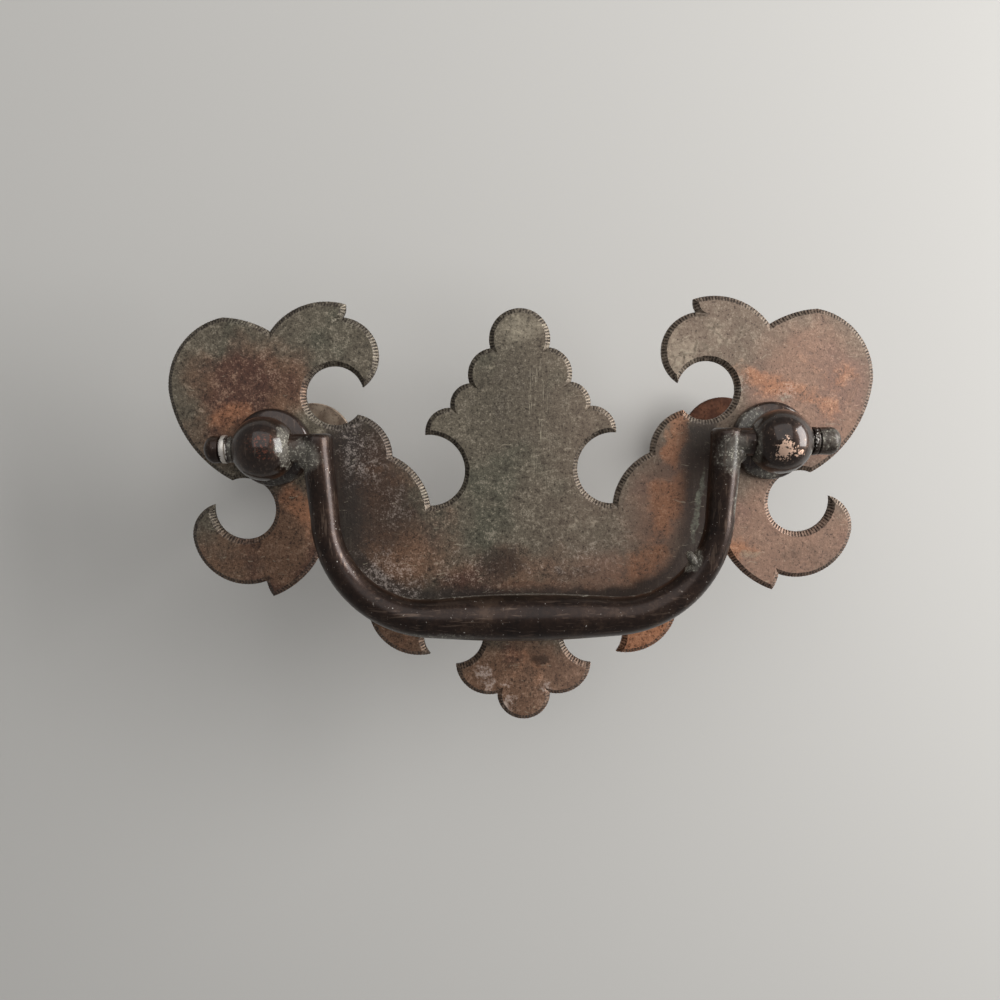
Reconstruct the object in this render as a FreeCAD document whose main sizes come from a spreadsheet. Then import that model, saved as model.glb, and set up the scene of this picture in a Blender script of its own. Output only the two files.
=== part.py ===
"""Bail pull for a drawer: a pierced sheet brass backplate with a bevelled rim, two ball posts whose
shanks pass through it and through the drawer front, and a cast bail that swings in the balls.

X runs along the drawer front, Z is up, and Y points into the drawer. The origin lies midway between
the two posts on the plate's back face. All sizes are in millimetres.
"""
import FreeCAD, Part
import math
import os

from FreeCAD import Placement, Rotation, Vector

# Driving dimensions of the plate, the posts and their fixings, and the bail.
SIZES = {
    "post_spacing": 76.2,
    "plate_thick": 1.2,
    "rim_width": 0.9,
    "rim_drop": 0.55,
    "shank_dia": 4.0,
    "shank_play": 0.4,
    "flange_dia": 11.9,
    "flange_edge": 0.8,
    "flange_rise": 1.6,
    "ball_reach": 5.0,
    "ball_dia": 9.5,
    "cheek_width": 8.2,
    "front_thick": 24.5,
    "washer_dia": 14.5,
    "washer_thick": 1.0,
    "nut_width": 7.0,
    "nut_thick": 3.0,
    "thread_play": 0.05,
    "shank_over": 1.5,
    "pin_dia": 4.2,
    "pin_play": 0.08,
    "pin_end_gap": 0.25,
    "ring_width": 1.1,
    "groove_width": 0.35,
    "groove_deep": 0.3,
    "nub_length": 3.0,
    "nub_dome": 1.5,
    "arm_gap": 1.4,
    "knuckle_over": 0.15,
    "arm_top_dia": 4.7,
    "arm_dia": 4.3,
    "arm_lean": 0.8,
    "bail_drop": 26.0,
    "bend_radius": 15.5,
    "grip_end_dia": 5.9,
    "grip_mid_dia": 7.1,
}

# Right half of the plate's outline, clockwise from the finial to the pendant. Each corner has its
# place and the bow of the arc that ends there: how far the arc stands out from its chord, or cuts
# into the plate where it is negative. The arcs over the tip and the foot join the two halves.
FINIAL_TIP = 20.6
PENDANT_FOOT = -44.1
OUTLINE = [
    ("finial_neck", 4.5, 14.65, None),
    ("finial_shelf", 7.8, 9.4, 1.45),
    ("finial_skirt", 10.8, 5.7, 1.0),
    ("finial_barb", 14.75, 1.55, 1.3),
    ("inner_cut", 14.3, -9.5, -5.8),
    ("inner_scallop", 20.0, -1.65, 1.3),
    ("upper_scallop", 25.1, 4.85, 1.45),
    ("upper_cut", 24.2, 9.0, -8.45),
    ("beak", 26.9, 19.6, 3.85),
    ("crest_step", 26.45, 21.55, 0.2),
    ("crest", 38.1, 17.65, 1.95),
    ("wing_top", 45.3, 19.85, 0.5),
    ("wing_side", 54.1, 9.0, 2.55),
    ("wing_heel", 44.95, -5.05, 2.1),
    ("outer_cut", 47.95, -8.75, -9.0),
    ("hook_side", 51.55, -14.0, 1.1),
    ("hook_step", 40.35, -21.05, 3.2),
    ("hook_spur", 39.35, -23.5, 0.15),
    ("flank", 30.9, -14.8, 1.4),
    ("lobe_side", 24.3, -27.0, 0.8),
    ("lobe_tip", 14.8, -33.2, 2.35),
    ("pendant_cut", 10.75, -35.0, -8.95),
    ("pendant_wing", 4.2, -39.85, 1.9),
]

doc = FreeCAD.newDocument("bail_pull")


# Spreadsheet

def add_cell(sheet, row, alias, value):
    """One plain number with its alias beside it."""
    sheet.set("A%d" % row, alias)
    sheet.set("B%d" % row, str(value))
    sheet.setAlias("B%d" % row, alias)


def make_sheet():
    """The sheet that every sketch, feature and placement reads."""
    cells = dict(SIZES)
    cells["finial_tip_z"] = FINIAL_TIP
    cells["pendant_foot_z"] = PENDANT_FOOT
    for name, x, z, bow in OUTLINE:
        cells[name + "_x"] = x
        cells[name + "_z"] = z
        if bow is not None:
            cells[name + "_bow"] = bow
    sheet = doc.addObject("Spreadsheet::Sheet", "Sizes")
    for row, (alias, value) in enumerate(cells.items(), start=1):
        add_cell(sheet, row, alias, value)
    doc.recompute()
    return sheet


sheet = make_sheet()


def value_of(alias):
    """The number that a cell of the sheet holds."""
    return float(sheet.get(alias))


# Places that several pieces share, as expressions on the sheet. Y runs from the drawer's face back
# through its front, so whatever stands on the plate has a negative Y.
POST_X = "Sizes.post_spacing / 2"
BALL_Y = "-(Sizes.plate_thick + Sizes.ball_reach)"
PLATE_FRONT_Y = "-Sizes.plate_thick"
WASHER_Y = "Sizes.front_thick"
NUT_Y = "(Sizes.front_thick + Sizes.washer_thick)"
CHEEK_OUT_X = "(Sizes.post_spacing / 2 + Sizes.cheek_width / 2)"
ARM_X = ("(Sizes.post_spacing / 2 - Sizes.cheek_width / 2 - Sizes.arm_gap"
         " - Sizes.arm_top_dia / 2)")

SIDES = {"left": -1, "right": 1}
ALONG_Y = Rotation(Vector(1, 0, 0), -90)
OUTWARD = {"left": Rotation(Vector(0, 1, 0), -90), "right": Rotation(Vector(0, 1, 0), 90)}


# Helpers for objects that read the sheet

def place(feature, rotation, x="0", y="0", z="0"):
    """Turns a feature and binds where it stands."""
    feature.Placement = Placement(Vector(0, 0, 0), rotation)
    for axis, expression in zip("xyz", (x, y, z)):
        feature.setExpression("Placement.Base." + axis, expression)
    return feature


def rod(name, radius, length):
    """A round bar along its own Z, its radius and length bound to the sheet."""
    bar = doc.addObject("Part::Cylinder", name)
    bar.setExpression("Radius", radius)
    bar.setExpression("Height", length)
    return bar


def fused(name, pieces):
    whole = doc.addObject("Part::MultiFuse", name)
    whole.Shapes = pieces
    whole.Refine = True
    return whole


def cut(name, base, tool):
    result = doc.addObject("Part::Cut", name)
    result.Base = base
    result.Tool = tool
    return result


def signed(side, expression):
    """A length along X, turned to the side that a piece stands on."""
    return "%d * %s" % (SIDES[side], expression)


# Backplate: one piece of sheet brass, sawn to its outline, with a bevel filed round its front edge

def arc_between(start, end, bow):
    """Centre and radius of the arc that stands out by bow on the left of its chord."""
    chord = end - start
    left = Vector(-chord.z, 0, chord.x).normalize()
    radius = (chord.Length ** 2 / 4 + bow * bow) / (2 * abs(bow))
    centre = (start + end) * 0.5 + left * (bow - math.copysign(radius, bow))
    return centre, radius, math.copysign(1, bow)


def outline_arcs():
    """The whole outline, clockwise from the finial's right neck: corners, and an arc after each."""
    right = [Vector(value_of(name + "_x"), 0, value_of(name + "_z")) for name, _, _, _ in OUTLINE]
    bows = [value_of(name + "_bow") for name, _, _, _ in OUTLINE[1:]]
    left = [Vector(-corner.x, 0, corner.z) for corner in reversed(right)]
    foot_bow = right[-1].z - value_of("pendant_foot_z")
    tip_bow = value_of("finial_tip_z") - right[0].z
    corners = right + left
    bows = bows + [foot_bow] + bows[::-1] + [tip_bow]
    following = corners[1:] + corners[:1]
    return corners, [arc_between(*ends) for ends in zip(corners, following, bows)]


def crossing(near, one, two):
    """Where two neighbouring arcs, drawn as whole circles, cross nearest to a corner."""
    (centre, radius, _), (other_centre, other_radius, _) = one, two
    between = other_centre - centre
    along = (between.Length ** 2 + radius ** 2 - other_radius ** 2) / (2 * between.Length)
    across = math.sqrt(max(radius ** 2 - along ** 2, 0.0))
    step = between.normalize()
    aside = Vector(-step.z, 0, step.x) * across
    meets = [centre + step * along + aside, centre + step * along - aside]
    return min(meets, key=lambda point: (point - near).Length)


def outline_wire(inset, depth):
    """The outline moved into the plate by inset and mitred at its corners, at a depth along Y."""
    corners, arcs = outline_arcs()
    moved = [(centre, radius - side * inset, side) for centre, radius, side in arcs]
    points = [crossing(corner, moved[index - 1], moved[index]) for index, corner in enumerate(corners)]
    drop = Vector(0, -depth, 0)
    edges = []
    for (centre, radius, side), start, end in zip(moved, points, points[1:] + points[:1]):
        first = math.atan2(start.z - centre.z, start.x - centre.x)
        last = math.atan2(end.z - centre.z, end.x - centre.x)
        turn = side * ((side * (first - last)) % (2 * math.pi))
        halfway = first - turn / 2
        through = centre + Vector(math.cos(halfway), 0, math.sin(halfway)) * radius
        edges.append(Part.Arc(start + drop, through + drop, end + drop).toShape())
    return Part.Wire(edges)


def outline_feature(name, inset, depth):
    """A wire that no ready-made feature draws: every arc has its own centre and its mitred ends."""
    feature = doc.addObject("Part::Feature", name)
    feature.Shape = outline_wire(inset, depth)
    return feature


def make_backplate():
    thick, drop = value_of("plate_thick"), value_of("rim_drop")
    outline = outline_feature("plate_outline", 0.0, 0.0)
    rim_foot = outline_feature("rim_foot", 0.0, thick - drop)
    rim_crown = outline_feature("rim_crown", value_of("rim_width"), thick)
    back = doc.addObject("Part::Extrusion", "plate_back")
    back.Base = outline
    back.DirMode = "Custom"
    back.Dir = Vector(0, -1, 0)
    back.Solid = True
    back.setExpression("LengthFwd", "Sizes.plate_thick - Sizes.rim_drop")
    rim = doc.addObject("Part::Loft", "plate_rim")
    rim.Sections = [rim_foot, rim_crown]
    rim.Solid = True
    rim.Ruled = True
    plate = fused("plate_blank", [back, rim])
    for side in SIDES:
        hole = rod("plate_hole_" + side, "(Sizes.shank_dia + Sizes.shank_play) / 2", "Sizes.plate_thick")
        place(hole, ALONG_Y, x=signed(side, POST_X), y=PLATE_FRONT_Y)
        plate = cut("plate_drilled_" + side, plate, hole)
    return plate


# Posts: each cast and turned in one piece, a ball with two flat cheeks on a round flange, and a
# shank that passes through the plate and the drawer front

def make_post(side):
    x = signed(side, POST_X)
    shank_length = ("Sizes.plate_thick + Sizes.front_thick + Sizes.washer_thick"
                    " + Sizes.nut_thick + Sizes.shank_over")
    shank = place(rod("shank_" + side, "Sizes.shank_dia / 2", shank_length), ALONG_Y, x, PLATE_FRONT_Y)
    disc = rod("flange_disc_" + side, "Sizes.flange_dia / 2", "Sizes.flange_rise")
    place(disc, ALONG_Y, x, "-(Sizes.plate_thick + Sizes.flange_rise)")
    ball = doc.addObject("Part::Sphere", "ball_" + side)
    ball.setExpression("Radius", "Sizes.ball_dia / 2")
    place(ball, OUTWARD[side], x, BALL_Y)
    cheeks = doc.addObject("Part::Box", "cheeks_" + side)
    cheeks.setExpression("Length", "Sizes.cheek_width")
    cheeks.setExpression("Width", "2 * Sizes.ball_dia")
    cheeks.setExpression("Height", "2 * Sizes.ball_dia")
    place(cheeks, Rotation(), x + " - Sizes.cheek_width / 2", BALL_Y + " - Sizes.ball_dia",
          "-Sizes.ball_dia")
    head = doc.addObject("Part::Common", "head_" + side)
    head.Base = ball
    head.Tool = cheeks
    doc.recompute()
    flange = doc.addObject("Part::Fillet", "flange_" + side)
    flange.Base = disc
    front_y = disc.Shape.BoundBox.YMin
    roll = value_of("flange_rise") - value_of("flange_edge")
    rims = [index for index, edge in enumerate(disc.Shape.Edges, start=1)
            if edge.BoundBox.YMax - front_y < roll / 2]
    flange.Edges = [(index, roll, roll) for index in rims]
    solid = fused("post_solid_" + side, [shank, flange, head])
    bore = rod("pin_bore_" + side, "Sizes.pin_dia / 2 + Sizes.pin_play", "2 * Sizes.cheek_width")
    place(bore, OUTWARD["right"], x + " - Sizes.cheek_width", BALL_Y)
    return cut("post_" + side, solid, bore)


# Washers and nuts: a round brass disc inside the drawer front, and a square nut that draws it up

def make_washer(side):
    x = signed(side, POST_X)
    disc = rod("washer_disc_" + side, "Sizes.washer_dia / 2", "Sizes.washer_thick")
    place(disc, ALONG_Y, x, WASHER_Y)
    hole = rod("washer_hole_" + side, "(Sizes.shank_dia + Sizes.shank_play) / 2", "Sizes.washer_thick")
    place(hole, ALONG_Y, x, WASHER_Y)
    return cut("washer_" + side, disc, hole)


def make_nut(side):
    x = signed(side, POST_X)
    block = doc.addObject("Part::Box", "nut_block_" + side)
    block.setExpression("Length", "Sizes.nut_width")
    block.setExpression("Width", "Sizes.nut_thick")
    block.setExpression("Height", "Sizes.nut_width")
    place(block, Rotation(), x + " - Sizes.nut_width / 2", NUT_Y, "-Sizes.nut_width / 2")
    thread = rod("nut_thread_" + side, "Sizes.shank_dia / 2 + Sizes.thread_play", "Sizes.nut_thick")
    place(thread, ALONG_Y, x, NUT_Y)
    return cut("nut_" + side, block, thread)


# Bail: one casting, its swelling grip and two arms lofted through round sections, with a pin turned
# outward from the top of each arm

BEND_Z = "(Sizes.bail_drop - Sizes.bend_radius)"
BEND_X = "(%s - Sizes.arm_lean - Sizes.bend_radius)" % ARM_X
GRIP_SWELL = "(Sizes.grip_mid_dia - Sizes.grip_end_dia)"
GRIP_SHARES = [0.25, 0.5, 0.75]
BEND_TURNS = [0, 15, 30, 45, 60, 75, 90]
SHOULDER_SHARE = 0.5


def bail_stations():
    """Half the bail from the middle of the grip up to the pin: X, Z, turn and diameter of each."""
    stations = []
    for share in GRIP_SHARES:
        stations.append(("%s * %s" % (share, BEND_X), "-Sizes.bail_drop", 90,
                         "Sizes.grip_end_dia + %s * cos(90 deg * %s)" % (GRIP_SWELL, share)))
    for turn in reversed(BEND_TURNS):
        swell = "(Sizes.grip_end_dia - Sizes.arm_dia) * (1 - cos(%d deg))" % turn
        stations.append(("%s + Sizes.bend_radius * cos(%d deg)" % (BEND_X, turn),
                         "-(%s + Sizes.bend_radius * sin(%d deg))" % (BEND_Z, turn), turn,
                         "Sizes.arm_dia + " + swell))
    stations.append(("%s - %s * Sizes.arm_lean" % (ARM_X, SHOULDER_SHARE),
                     "-%s * %s" % (SHOULDER_SHARE, BEND_Z), 0, "(Sizes.arm_dia + Sizes.arm_top_dia) / 2"))
    stations.append((ARM_X, "0", 0, "Sizes.arm_top_dia"))
    return stations


def bail_section(name, x, z, turn, diameter):
    """One round section, square to the bail's centre line."""
    circle = doc.addObject("Part::Circle", name)
    circle.setExpression("Radius", "(%s) / 2" % diameter)
    return place(circle, Rotation(Vector(0, 1, 0), turn), x, BALL_Y, z)


def make_pin(side):
    """The knuckle at the arm's top, the pin, and its end: a ring between two grooves, then a nub."""
    pieces = []
    start = ARM_X
    pin_radius = "Sizes.pin_dia / 2"
    groove_radius = "Sizes.pin_dia / 2 - Sizes.groove_deep"
    lengths = [("pin", pin_radius, "%s - %s" % (CHEEK_OUT_X, ARM_X)),
               ("gap", groove_radius, "Sizes.pin_end_gap"),
               ("ring", pin_radius, "Sizes.ring_width"),
               ("groove", groove_radius, "Sizes.groove_width"),
               ("nub", pin_radius, "Sizes.nub_length - Sizes.nub_dome")]
    for name, radius, length in lengths:
        piece = rod("%s_%s" % (name, side), radius, length)
        pieces.append(place(piece, OUTWARD[side], signed(side, "(%s)" % start), BALL_Y))
        start = "%s + %s" % (start, length)
    dome = doc.addObject("Part::Ellipsoid", "dome_" + side)
    dome.setExpression("Radius1", "Sizes.nub_dome")
    dome.setExpression("Radius2", pin_radius)
    dome.setExpression("Radius3", pin_radius)
    pieces.append(place(dome, OUTWARD[side], signed(side, "(%s)" % start), BALL_Y))
    knuckle = doc.addObject("Part::Sphere", "knuckle_" + side)
    knuckle.setExpression("Radius", "Sizes.arm_top_dia / 2 + Sizes.knuckle_over")
    pieces.append(place(knuckle, OUTWARD[side], signed(side, ARM_X), BALL_Y))
    return pieces


def make_bail():
    stations = bail_stations()
    sections = []
    for index, (x, z, turn, diameter) in enumerate(reversed(stations)):
        sections.append(bail_section("section_right_%d" % index, x, z, 180 + turn, diameter))
    sections.append(bail_section("section_middle", "0", "-Sizes.bail_drop", 270, "Sizes.grip_mid_dia"))
    for index, (x, z, turn, diameter) in enumerate(stations):
        sections.append(bail_section("section_left_%d" % index, "-(%s)" % x, z, 360 - turn, diameter))
    bow = doc.addObject("Part::Loft", "bail_bow")
    bow.Sections = sections
    bow.Solid = True
    bow.Ruled = False
    return fused("bail_casting", [bow] + make_pin("left") + make_pin("right"))


# Building, checking and writing

def finish_piece(feature, name):
    feature.Label = name
    return feature


pieces = [finish_piece(make_backplate(), "backplate")]
for side in SIDES:
    pieces.append(finish_piece(make_post(side), "post_" + side))
    pieces.append(finish_piece(make_washer(side), "washer_" + side))
    pieces.append(finish_piece(make_nut(side), "nut_" + side))
pieces.append(finish_piece(make_bail(), "bail"))
doc.recompute()

for feature in doc.Objects:
    if "Invalid" in feature.State or "Error" in feature.State:
        raise RuntimeError("%s failed: %s" % (feature.Name, feature.State))
for piece in pieces:
    if piece.Shape.isNull() or not piece.Shape.isValid():
        raise RuntimeError("%s has no valid shape" % piece.Label)
    if len(piece.Shape.Solids) != 1:
        raise RuntimeError("%s is %d solids" % (piece.Label, len(piece.Shape.Solids)))

os.makedirs("parts", exist_ok=True)
for piece in pieces:
    piece.Shape.exportStep("parts/%s.step" % piece.Label)
    print("%-14s %8.1f cubic mm" % (piece.Label, piece.Shape.Volume))
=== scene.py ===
"""Looks of an old bail pull: a dark bail in two ball posts on a patinated sheet brass backplate."""

import math

import bmesh
import bpy
from mathutils import Matrix, Vector


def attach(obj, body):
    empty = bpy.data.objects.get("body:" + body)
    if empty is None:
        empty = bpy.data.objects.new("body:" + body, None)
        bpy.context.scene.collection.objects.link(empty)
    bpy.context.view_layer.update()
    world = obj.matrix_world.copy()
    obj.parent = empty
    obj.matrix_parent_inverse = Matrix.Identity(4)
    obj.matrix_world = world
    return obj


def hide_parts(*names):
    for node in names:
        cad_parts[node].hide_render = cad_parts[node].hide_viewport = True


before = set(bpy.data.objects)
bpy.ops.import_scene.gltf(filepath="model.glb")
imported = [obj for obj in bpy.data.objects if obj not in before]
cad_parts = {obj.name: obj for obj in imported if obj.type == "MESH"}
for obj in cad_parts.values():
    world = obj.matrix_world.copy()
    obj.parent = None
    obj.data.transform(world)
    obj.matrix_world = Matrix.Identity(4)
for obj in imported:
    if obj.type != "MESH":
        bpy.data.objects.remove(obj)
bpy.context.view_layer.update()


# Camera
# It stands 12 cm in front of the plate and a little above its middle, tipped down towards it and
# rolled by about a degree.

MM = 0.001
CAMERA_PLACE = Vector((-2.88, -121.64, 4.17)) * MM
CAMERA_TIP = math.radians(6.074)
CAMERA_TURN = math.radians(0.22)
CAMERA_ROLL = math.radians(0.817)
CAMERA_LENS = 28.08
CAMERA_SENSOR = 36

ahead = Vector((0, math.cos(CAMERA_TIP), -math.sin(CAMERA_TIP)))
upward = Vector((0, math.sin(CAMERA_TIP), math.cos(CAMERA_TIP)))
across = Vector((1, 0, 0))
rightward = across * math.cos(CAMERA_ROLL) - upward * math.sin(CAMERA_ROLL)
upward = across * math.sin(CAMERA_ROLL) + upward * math.cos(CAMERA_ROLL)
facing = Matrix((rightward, upward, -ahead)).transposed()
camera_data = bpy.data.cameras.new("camera")
camera_data.sensor_width = CAMERA_SENSOR
camera_data.lens = CAMERA_LENS
camera_data.clip_start = 0.01
camera = bpy.data.objects.new("camera", camera_data)
facing = Matrix.Rotation(CAMERA_TURN, 3, "Z") @ facing
camera.matrix_world = Matrix.Translation(CAMERA_PLACE) @ facing.to_4x4()
bpy.context.scene.collection.objects.link(camera)
bpy.context.scene.camera = camera


# Backplate
# Sheet brass 1.2 mm thick, sawn to a scrolled outline and pierced for the two posts. A bevel is filed
# round its front edge and nicked all along with a chasing tool, and the face has gone dull and mottled.

PLATE_THICK = 1.2
RIM_WIDTH = 0.75
RIM_DROP = 0.55
NICK_PITCH = 0.47
NICK_EDGE = 0.42
NICK_MIDDLE = 0.71
NICK_DEEP = 0.14
POST_X = 38.1
POST_HOLE = 2.2
MERGE = 0.002

# Right half of the outline, clockwise from the finial to the pendant: each corner's X and Z, and how
# far the arc that ends there bows out from its chord, or in where it is negative.
FINIAL_TIP = 20.6
PENDANT_FOOT = -44.1
OUTLINE = [
    ("finial_neck", 4.5, 14.65, None),
    ("finial_shelf", 7.8, 9.4, 1.45),
    ("finial_skirt", 10.8, 5.7, 1.0),
    ("finial_barb", 14.75, 1.55, 1.3),
    ("inner_cut", 14.3, -9.5, -5.8),
    ("inner_scallop", 20.0, -1.65, 1.3),
    ("upper_scallop", 25.1, 4.85, 1.45),
    ("upper_cut", 24.2, 9.0, -8.45),
    ("beak", 26.9, 19.6, 3.85),
    ("crest_step", 26.45, 21.55, 0.2),
    ("crest", 38.1, 17.65, 1.95),
    ("wing_top", 45.3, 19.85, 0.5),
    ("wing_side", 54.1, 9.0, 2.55),
    ("wing_heel", 44.95, -5.05, 2.1),
    ("outer_cut", 47.95, -8.75, -9.0),
    ("hook_side", 51.55, -14.0, 1.1),
    ("hook_step", 40.35, -21.05, 3.2),
    ("hook_spur", 39.35, -23.5, 0.15),
    ("flank", 30.9, -14.8, 1.4),
    ("lobe_side", 24.3, -27.0, 0.8),
    ("lobe_tip", 14.8, -33.2, 2.35),
    ("pendant_cut", 10.75, -35.0, -8.95),
    ("pendant_wing", 4.2, -39.85, 1.9),
]


def outline_arcs():
    """Every arc of the outline, clockwise from the finial's neck, as ends, centre, radius and side."""
    right = [Vector((x, z)) for _, x, z, _ in OUTLINE]
    bows = [bow for _, _, _, bow in OUTLINE[1:]]
    corners = right + [Vector((-point.x, point.y)) for point in reversed(right)]
    bows = bows + [right[-1].y - PENDANT_FOOT] + bows[::-1] + [FINIAL_TIP - right[0].y]
    arcs = []
    for start, end, bow in zip(corners, corners[1:] + corners[:1], bows):
        chord = end - start
        left = Vector((-chord.y, chord.x)).normalized()
        radius = (chord.length ** 2 / 4 + bow * bow) / (2 * abs(bow))
        centre = (start + end) / 2 + left * (bow - math.copysign(radius, bow))
        arcs.append((start, end, centre, radius, math.copysign(1, bow)))
    return arcs


def mitre_point(corner, before, after):
    """Where the bevel's crowns along two neighbouring arcs meet."""
    centres = [arc[2] for arc in (before, after)]
    first, second = [arc[3] - arc[4] * RIM_WIDTH for arc in (before, after)]
    gap = centres[1] - centres[0]
    along = (gap.length ** 2 + first ** 2 - second ** 2) / (2 * gap.length)
    aside = math.sqrt(max(first ** 2 - along ** 2, 0))
    step = gap.normalized()
    cross = Vector((-step.y, step.x)) * aside
    meets = [centres[0] + step * along + cross, centres[0] + step * along - cross]
    return min(meets, key=lambda point: (point - corner).length)


def wrapped(turn):
    """A turn brought between half a turn back and half a turn ahead."""
    return (turn + math.pi) % (2 * math.pi) - math.pi


def bearing(centre, point):
    return math.atan2(point.y - centre.y, point.x - centre.x)


def turn_along(arc, point):
    """The turn from an arc's start to a point, counted in the arc's own direction."""
    start, _, centre, _, side = arc
    return wrapped(side * (bearing(centre, start) - bearing(centre, point)))


def point_along(arc, turn, distance):
    """The point at a turn along an arc, at a distance from its centre."""
    start, _, centre, _, side = arc
    at = bearing(centre, start) - side * turn
    return centre + Vector((math.cos(at), math.sin(at))) * distance


def rim_columns():
    """Foot and crown of the bevel at every nick and every land between two nicks, in order."""
    arcs = outline_arcs()
    mitres = [mitre_point(arc[0], arcs[index - 1], arc) for index, arc in enumerate(arcs)]
    columns = []
    for arc, mitre, next_mitre in zip(arcs, mitres, mitres[1:] + mitres[:1]):
        _, end, _, radius, side = arc
        foot_end = turn_along(arc, end) % (2 * math.pi)
        crown_start = turn_along(arc, mitre)
        crown_end = foot_end + wrapped(turn_along(arc, next_mitre) - foot_end)
        low, high = min(0.0, crown_start), max(foot_end, crown_end)
        count = max(2, round((high - low) * (radius - side * RIM_WIDTH / 2) / NICK_PITCH))
        for step in range(count):
            for share, deepest in ((0.0, 0.0), (NICK_EDGE, 0.0), (NICK_MIDDLE, NICK_DEEP)):
                turn = low + (high - low) * (step + share) / count
                foot = min(max(turn, 0.0), foot_end)
                crown = min(max(turn, crown_start), crown_end)
                deep = deepest if foot == turn else 0.0
                crown_point = point_along(arc, crown, radius - side * RIM_WIDTH)
                columns.append((point_along(arc, foot, radius), crown_point, deep))
    return columns


def spread_loop(mesh, edges, place_of):
    """Extrudes a loop of edges and moves each new point to the place kept for the old one."""
    made = bmesh.ops.extrude_edge_only(mesh, edges=edges)["geom"]
    points = [piece for piece in made if isinstance(piece, bmesh.types.BMVert)]
    for point in points:
        neighbours = [edge.other_vert(point) for edge in point.link_edges]
        point.co = next(place_of[old] for old in neighbours if old in place_of)
    return [piece for piece in made if isinstance(piece, bmesh.types.BMFace)]


def finish_mesh(mesh, name, materials, smooth=None):
    """Turns a modelled mesh into an object in the drawing's place, its finishes in order."""
    data = bpy.data.meshes.new(name)
    bmesh.ops.recalc_face_normals(mesh, faces=mesh.faces[:])
    bmesh.ops.scale(mesh, vec=(MM, MM, MM), verts=mesh.verts[:])
    mesh.to_mesh(data)
    mesh.free()
    for material in materials:
        data.materials.append(material)
    piece = bpy.data.objects.new(name, data)
    bpy.context.scene.collection.objects.link(piece)
    if smooth is not None:
        data.polygons.foreach_set("use_smooth", [True] * len(data.polygons))
        data.set_sharp_from_angle(angle=math.radians(smooth))
    return piece


def make_plate(materials):
    mesh = bmesh.new()
    columns = rim_columns()
    foot = [mesh.verts.new((point.x, RIM_DROP + deep - PLATE_THICK, point.y)) for point, _, deep in columns]
    ring = [mesh.edges.new(pair) for pair in zip(foot, foot[1:] + foot[:1])]
    crowns = {point: Vector((crown.x, -PLATE_THICK, crown.y))
              for point, (_, crown, _) in zip(foot, columns)}
    backs = {point: Vector((point.co.x, 0, point.co.z)) for point in foot}
    for face in spread_loop(mesh, ring, crowns):
        nicked = any(point.co.y > RIM_DROP - PLATE_THICK + NICK_DEEP / 2 for point in face.verts)
        face.material_index = 2 if nicked else 1
    spread_loop(mesh, ring, backs)
    bmesh.ops.remove_doubles(mesh, verts=mesh.verts[:], dist=MERGE)
    for side in (-1, 1):
        hole = bmesh.ops.create_circle(mesh, segments=40, radius=POST_HOLE)["verts"]
        place = Matrix.Translation((side * POST_X, -PLATE_THICK, 0)) @ Matrix.Rotation(math.pi / 2, 4, "X")
        bmesh.ops.transform(mesh, matrix=place, verts=hole)
        edges = list({edge for point in hole for edge in point.link_edges})
        spread_loop(mesh, edges, {point: Vector((point.co.x, 0, point.co.z)) for point in hole})
    for depth in (-PLATE_THICK, 0):
        rims = [edge for edge in mesh.edges if len(edge.link_faces) == 1
                and all(abs(point.co.y - depth) < 1e-6 for point in edge.verts)]
        bmesh.ops.triangle_fill(mesh, edges=rims, use_beauty=True, normal=(0, -1, 0))
    return finish_mesh(mesh, "backplate_chased", materials)


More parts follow.
